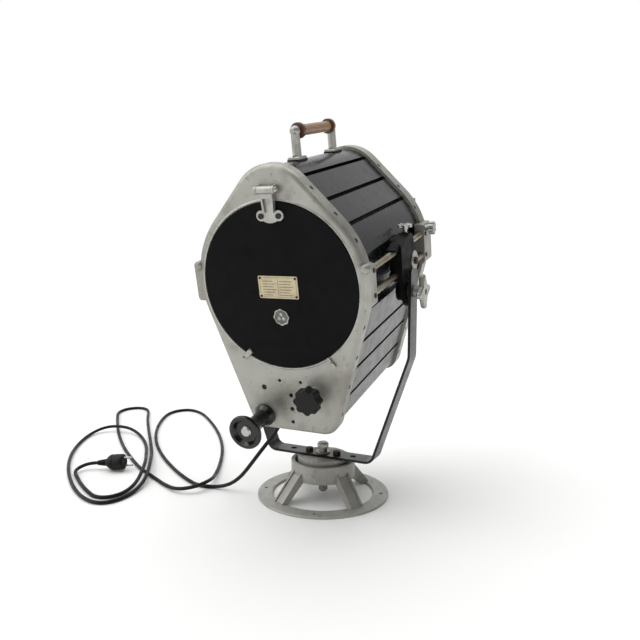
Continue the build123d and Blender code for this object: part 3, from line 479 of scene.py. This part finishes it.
# Points of the route in mm, from the gland to the carriages and from there to the plug.
CORD_UPPER = [(-55, -92.6, 167.6), (-66.2, -88.9, 149.6), (-82.8, -96.0, 126.4)]
CORD = [
    (-82.8, -96.0, 126.4), (-95.25, -101.325, 109), (-121, -97, 77), (-148, -90, 45),
    (-180, -81, 19), (-216, -77, LIE), (-262, -90, LIE), (-315, -64, LIE),
    (-372, -28, LIE), (-452, 32, LIE), (-536, 110, LIE), (-610, 200, LIE),
    (-672, 302, LIE), (-706, 392, LIE), (-672, 444, LIE), (-610, 424, LIE),
    (-538, 362, LIE), (-462, 286, LIE), (-394, 206, LIE), (-336, 122, LIE),
    (-288, 34, LIE), (-258, -28, 9), (-238, -72, 16), (-244, -122, 16),
    (-282, -138, 9), (-330, -118, LIE), (-385, -88, LIE), (-440, -62, LIE),
    (-505, -18, LIE), (-588, 46, LIE), (-676, 126, LIE), (-752, 205, LIE),
    (-812, 272, LIE), (-846, 312, LIE), (-857, 350, LIE), (-842, 385, LIE),
    (-808, 395, LIE), (-774, 372, LIE), (-722, 302, LIE), (-645, 212, LIE),
    (-566, 124, LIE), (-500, 48, 6), (-447, -22, 15), (-404, -82, 16),
    (-376, -134, 9), (-364, -184, LIE), (-366, -228, LIE), (-386, -256, LIE),
    (-424, -256, LIE), (-482, -228, LIE), (-550, -178, LIE), (-620, -114, LIE),
    (-680, -44, LIE), (-726, 28, LIE), (-758, 98, LIE), (-757, 142, 10),
    (-732, 163, 16), (-686, 171, 16), (-650, 166, 9), (-606, 140, LIE),
    (-548, 86, 5), (-490, 14, 10), (-452, -34, 16), (-414, -92, 16),
    (-390, -140, 9), (-381, -184, LIE), (-390, -222, LIE), (-420, -236, LIE),
    (-462, -216, LIE), (-506, -189, LIE), (-541, -164, 5), (-565, -147, 7),
    (-573.6, -130.7, 9), (-571.3, -113, 12), (-559.7, -99, 15), (-543.5, -94, 16.5),
]


def route_line(points):
    """Points read along the route's smooth spline, in metres."""
    curve = bpy.data.curves.new("route", "CURVE")
    curve.dimensions = "3D"
    curve.resolution_u = ROUTE_STEPS
    spline = curve.splines.new("NURBS")
    spline.points.add(len(points) - 1)
    for point, (x, y, z) in zip(spline.points, points):
        point.co = (x * MM, y * MM, z * MM, 1)
    spline.order_u = 3
    spline.use_endpoint_u = True
    holder = bpy.data.objects.new("route", curve)
    line = bpy.data.meshes.new_from_object(holder)
    read = [v.co.copy() for v in line.vertices]
    bpy.data.objects.remove(holder)
    bpy.data.meshes.remove(line)
    return read


def lay_cord(name, points, node):
    """One stretch of the cord as a tube along its route, and the line it follows."""
    line = route_line(points)
    piece = mesh_piece(name, tube_along(line, CORD_DIAMETER / 2, CORD_TURNS), "rubber")
    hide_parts(node)
    return piece, line


upper_cord, upper_line = lay_cord("supply_cord_upper", CORD_UPPER, "cord_upper")
long_cord, long_line = lay_cord("supply_cord", CORD, "cord")


# The plug in mm: its ribbed sleeve, where its grip flats start and end, and the body's profile
# of radius and distance from the cord's end.
PLUG_RIBS = 7
PLUG_RIB_PITCH = 2.6
PLUG_RIB_GROWTH = 0.35
PLUG_FLATS = (27, 62)
PLUG_BODY = [
    (8.6, 21), (10, 23.5), (14.5, 28), (17.6, 33), (18.5, 36.5), (18.6, 40), (17.9, 41),
    (17.9, 43.5), (18.6, 44.5), (18.6, 60), (18.3, 62.5), (17.4, 64.5), (15.8, 65.6),
    (15.0, 65.9), (14.6, 64.8), (2.0, 64.8),
]


def make_plug():
    """Round two-pin earthed plug lying on the floor at the cord's end."""
    tail = long_line[-1]
    ahead = (Vector(CORD[-1]) - Vector(CORD[-2])).normalized()
    sleeve = [(4.2, 0), (5.6, 0.2)]
    for i in range(PLUG_RIBS):
        h = 2 + i * PLUG_RIB_PITCH
        outer = 6.0 + i * PLUG_RIB_GROWTH
        inner = 4.9 + i * PLUG_RIB_GROWTH
        sleeve += [(outer, h), (outer, h + 1.3), (inner, h + 1.35), (inner, h + 2.55)]

    def flats(angle, r, h):
        """Two shallow grip flats, on the body only."""
        start, end = PLUG_FLATS
        return 1.0 - 0.06 * max(0.0, cos(2 * angle)) ** 3 if start <= h < end else 1.0

    shape = lathe(sleeve + PLUG_BODY, tail, ahead, 64, flats)
    return mesh_piece("plug_body", shape, "rubber", "yoke_body")


plug = make_plug()
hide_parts("plug")
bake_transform(upper_cord)
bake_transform(long_cord)


# ---------------------------------------------------------------- fine pieces on the rear face
def plate_lines():
    """Thin raised frame, middle line and rows of plain bars on the name plate."""
    low, high = house_box("name_plate")
    face = low[1]
    sink = 0.1
    thick, proud = 0.7, 0.14
    side_margin, end_margin, corner = 3, 2.5, 5
    half_line, half_gutter, indent = 0.5, 3.0, 6
    rows, row_pitch, row_height, row_proud = 6, 5.2, 1.5, 0.12
    shapes = []

    def bar(x0, x1, z0, z1, height):
        """A bar from just under the plate's face to a height above it."""
        corners = [house(x, face - d, z) for d in (-sink, height) for x, z in
                   ((x0, z0), (x1, z0), (x1, z1), (x0, z1))]
        shapes.append((corners, [(0, 1, 2, 3), (7, 6, 5, 4), (0, 4, 5, 1), (1, 5, 6, 2),
                                 (2, 6, 7, 3), (3, 7, 4, 0)]))

    x0, x1 = low[0] + side_margin, high[0] - side_margin
    z0, z1 = low[2] + end_margin, high[2] - end_margin
    for z in (z0, z1 - thick):
        bar(x0 + corner, x1 - corner, z, z + thick, proud)
    for x in (x0, x1 - thick):
        bar(x, x + thick, z0 + corner, z1 - corner, proud)
    bar(-half_line, half_line, z0 + end_margin, z1 - end_margin, proud)
    columns = ((x0 + indent, -half_gutter), (half_gutter, x1 - indent))
    for row in range(rows):
        z = z0 + side_margin + row * row_pitch
        for column, (start, end) in enumerate(columns):
            filled = 0.72 + 0.26 * ((row * 2 + column * 3) % 5) / 4
            bar(start, start + (end - start) * filled, z, z + row_height, row_proud)
    mesh_piece("plate_lines", join(shapes), "plate_ink", "door")


def door_lip():
    """Raised lip round the door's seat, brighter than the casting round it: a painted highlight
    along the seat's edge.
    """
    low, high = house_box("rear_door")
    centre = house(0, 0, (low[2] + high[2]) / 2)
    # Radius of the seat, and how far the rear casting's face is behind the tilt axis, in mm.
    seat, face = 157.6, 187.0
    profile = [(seat, face - 2.4), (seat, face + 0.5), (seat + 0.7, face + 0.9),
               (seat + 2.2, face + 0.7), (seat + 3.4, face + 0.05), (seat + 3.4, face - 0.5)]
    shape = lathe(profile, centre, -HOUSE_Y, 160, ends="joined")
    # The lip's brighter alloy finish is a painted highlight round the door's seat.
    mesh_piece("door_lip", shape, "alloy", "lamp_house")


def badge_piece():
    """Plain scalloped badge with a raised rim and three round buttons."""
    low, high = house_box("badge")
    centre = house(0, high[1] - 0.05, (low[2] + high[2]) / 2)
    turns, scallops, scalloped_from = 96, 8, 11
    buttons, button_circle = 3, 5.2

    def scallop(angle, r, h):
        """A scalloped outline, drawn out a little along one diagonal."""
        depth = 0.045 * cos(scallops * angle) if r > scalloped_from else 0.0
        return (1.0 + 0.05 * abs(sin(angle))) * (1.0 + depth)

    ground = [(14.4, 0), (14.4, 0.9), (13.6, 1.0), (0.1, 1.0)]
    shape = lathe(ground, centre, -HOUSE_Y, turns, scallop)
    piece = mesh_piece("badge_face", shape, "badge", "door")
    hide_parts("badge")
    rim = [(14.9, 0.2), (14.9, 1.4), (14.2, 1.9), (13.0, 1.9), (12.4, 1.3), (12.4, 0.8)]
    button = [(3.4, 0.8), (3.4, 1.3), (2.8, 1.8), (1.6, 2.0), (0.1, 2.05)]
    shapes = [lathe(rim, centre, -HOUSE_Y, turns, scallop, "open")]
    for i in range(buttons):
        angle = radians(90 + 360 / buttons * i)
        away = (HOUSE_X * cos(angle) + HOUSE_Z * sin(angle)) * button_circle * MM
        shapes.append(lathe(button, centre + away, -HOUSE_Y, 28))
    mesh_piece("badge_relief", join(shapes), "alloy", "door")


# ---------------------------------------------------------------- other fine pieces
def knurled_band():
    """Knurled band round the pan bolt's head."""
    centre = Vector((0, 0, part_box("pan_bolt")[1].z))
    ridge_count, ridge_depth = 28, 0.028
    profile = [(11.2, -9.5), (11.7, -9.0), (11.7, -3.4), (11.2, -2.9)]

    def ridges(angle, r, h):
        return 1.0 + ridge_depth * cos(ridge_count * angle)

    shape = lathe(profile, centre, (0, 0, 1), ridge_count * 6, ridges, "open")
    mesh_piece("pan_bolt_knurl", shape, "steel", "yoke_body")


def lock_bolts():
    """Rusty hexagon bolts in the middle of the lock discs."""
    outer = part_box("lock_discs")[1].x / MM
    sink, lock_y, lock_z = 3.4, 40, 52
    profile = [(7.7, 0), (7.7, 3.5), (6.9, 4.4), (3.0, 4.6), (0.2, 4.6)]
    for side, name in ((-1, "left"), (1, "right")):
        centre = house(side * (outer - sink), lock_y, lock_z)
        shape = lathe(profile, centre, HOUSE_X * side, 6)
        mesh_piece("lock_bolt_" + name, shape, "dark_rust", "carriages")


def gland_ribs():
    """Flexible rings of the tapered strain relief where the cord leaves the housing."""
    start = Vector(CORD_UPPER[0]) * MM
    back = (Vector(CORD_UPPER[0]) - Vector(CORD_UPPER[1])).normalized()
    rings, first_ring, pitch = 4, 1.5, 4.6
    mouth_radius, taper = 5.4, 3.2 / 24
    shapes = []
    for i in range(rings):
        h = first_ring + i * pitch
        r = mouth_radius + h * taper
        ring = [(r - 0.6, h), (r + 0.5, h + 0.4), (r + 0.75, h + 1.3), (r + 0.6, h + 2.2),
                (r - 0.4, h + 2.6)]
        shapes.append(lathe(ring, start, back, 28))
    mesh_piece("gland_ribs", join(shapes), "rubber", "lamp_house")


def rod_bosses():
    """Domed bosses on the rear casting's ears, where the upper balance rods end."""
    low, high = house_box("balance_rods")
    # Place of the dome's middle, from the rods' outermost, rearmost and highest points in mm.
    inward, behind, down = 7.0, 13.0, 0.5
    profile = [(8.6, -26.0), (9.0, -25.4), (9.0, -6.0), (8.6, -3.6), (7.4, -1.6), (5.4, -0.4),
               (2.8, 0.2), (0.2, 0.3)]
    for side, name in ((-1, "left"), (1, "right")):
        centre = house(side * (high[0] - inward), low[1] - behind, high[2] - down)
        shape = lathe(profile, centre, -HOUSE_Y, 40)
        mesh_piece("rod_boss_" + name, shape, "cast", "lamp_house")


rod_bosses()
plate_lines()
door_lip()
badge_piece()
knurled_band()
lock_bolts()
gland_ribs()


# ---------------------------------------------------------------- floor and light
def make_floor():
    """Plain pale floor."""
    reach = 14.0
    mesh = bpy.data.meshes.new("floor")
    corners = [(-reach, -reach, 0), (reach, -reach, 0), (reach, reach, 0), (-reach, reach, 0)]
    mesh.from_pydata(corners, [], [(0, 1, 2, 3)])
    floor = bpy.data.objects.new("floor", mesh)
    bpy.context.scene.collection.objects.link(floor)
    floor.data.materials.append(
        finish("pale_floor", (0.95, 0.95, 0.945), rough=0.55,
               stains=((0.8, (0.91, 0.91, 0.90), 0.4, 0.7, 0.5),),
               bumps=((60.0, 0.0001),), spread=0.08, specular=0.25))


def soft_sun(name, place, strength, spread, colour=(1, 1, 1)):
    """Even light from a place towards the object, softened by spread degrees."""
    data = bpy.data.lights.new(name, "SUN")
    data.energy = strength
    data.angle = radians(spread)
    data.color = colour
    lamp = bpy.data.objects.new(name, data)
    lamp.location = place
    lamp.rotation_euler = (-Vector(place)).to_track_quat("-Z", "Y").to_euler()
    bpy.context.scene.collection.objects.link(lamp)


def make_surroundings():
    """Surroundings that light the object unevenly, as a room does, and look white behind it."""
    world = bpy.data.worlds.new("studio")
    world.use_nodes = True
    tree = world.node_tree
    way = tree.nodes.new("ShaderNodeSeparateXYZ")
    tree.links.new(tree.nodes.new("ShaderNodeTexCoord").outputs["Generated"], way.inputs[0])

    def shade(axis, start, end, before, after):
        """Brightness that changes smoothly along one direction of the room."""
        node = map_range(tree, way.outputs[axis], from_min=start, from_max=end,
                         to_min=before, to_max=after)
        node.interpolation_type = "SMOOTHSTEP"
        return node.outputs["Result"]

    # The room gets darker to the right, overhead and on the camera's side of the object.
    right = shade("X", start=0.10, end=0.42, before=1.0, after=0.32)
    above = shade("Z", start=0.32, end=0.60, before=1.0, after=0.72)
    back = shade("Y", start=-0.35, end=0.25, before=0.36, after=1.0)
    room = math_node(tree, "MULTIPLY", math_node(tree, "MULTIPLY", right, above), back)
    # A low glow on the right lights the right-hand sides again.
    glow_side = shade("X", start=0.32, end=0.44, before=0.0, after=1.0)
    glow_top = shade("Z", start=0.02, end=0.24, before=0.42, after=0.0)
    glow = math_node(tree, "MULTIPLY", glow_side, glow_top)
    light = math_node(tree, "ADD", room, glow)
    camera_ray = tree.nodes.new("ShaderNodeLightPath").outputs["Is Camera Ray"]
    background = tree.nodes["Background"]
    tree.links.new(math_node(tree, "MAXIMUM", light, camera_ray), background.inputs["Strength"])
    background.inputs["Color"].default_value = (1, 1, 1, 1)
    bpy.context.scene.world = world


def make_light():
    """Surroundings and two very soft lights, from overhead and from a window on the left."""
    make_surroundings()
    soft_sun("overhead", (-0.3, 0.2, 3.0), strength=1.7, spread=80)
    soft_sun("left_window", (-2.4, -2.0, 2.0), strength=1.35, spread=60, colour=(1.0, 0.995, 0.98))
    bpy.context.scene.view_settings.view_transform = "Standard"


make_floor()
make_light()
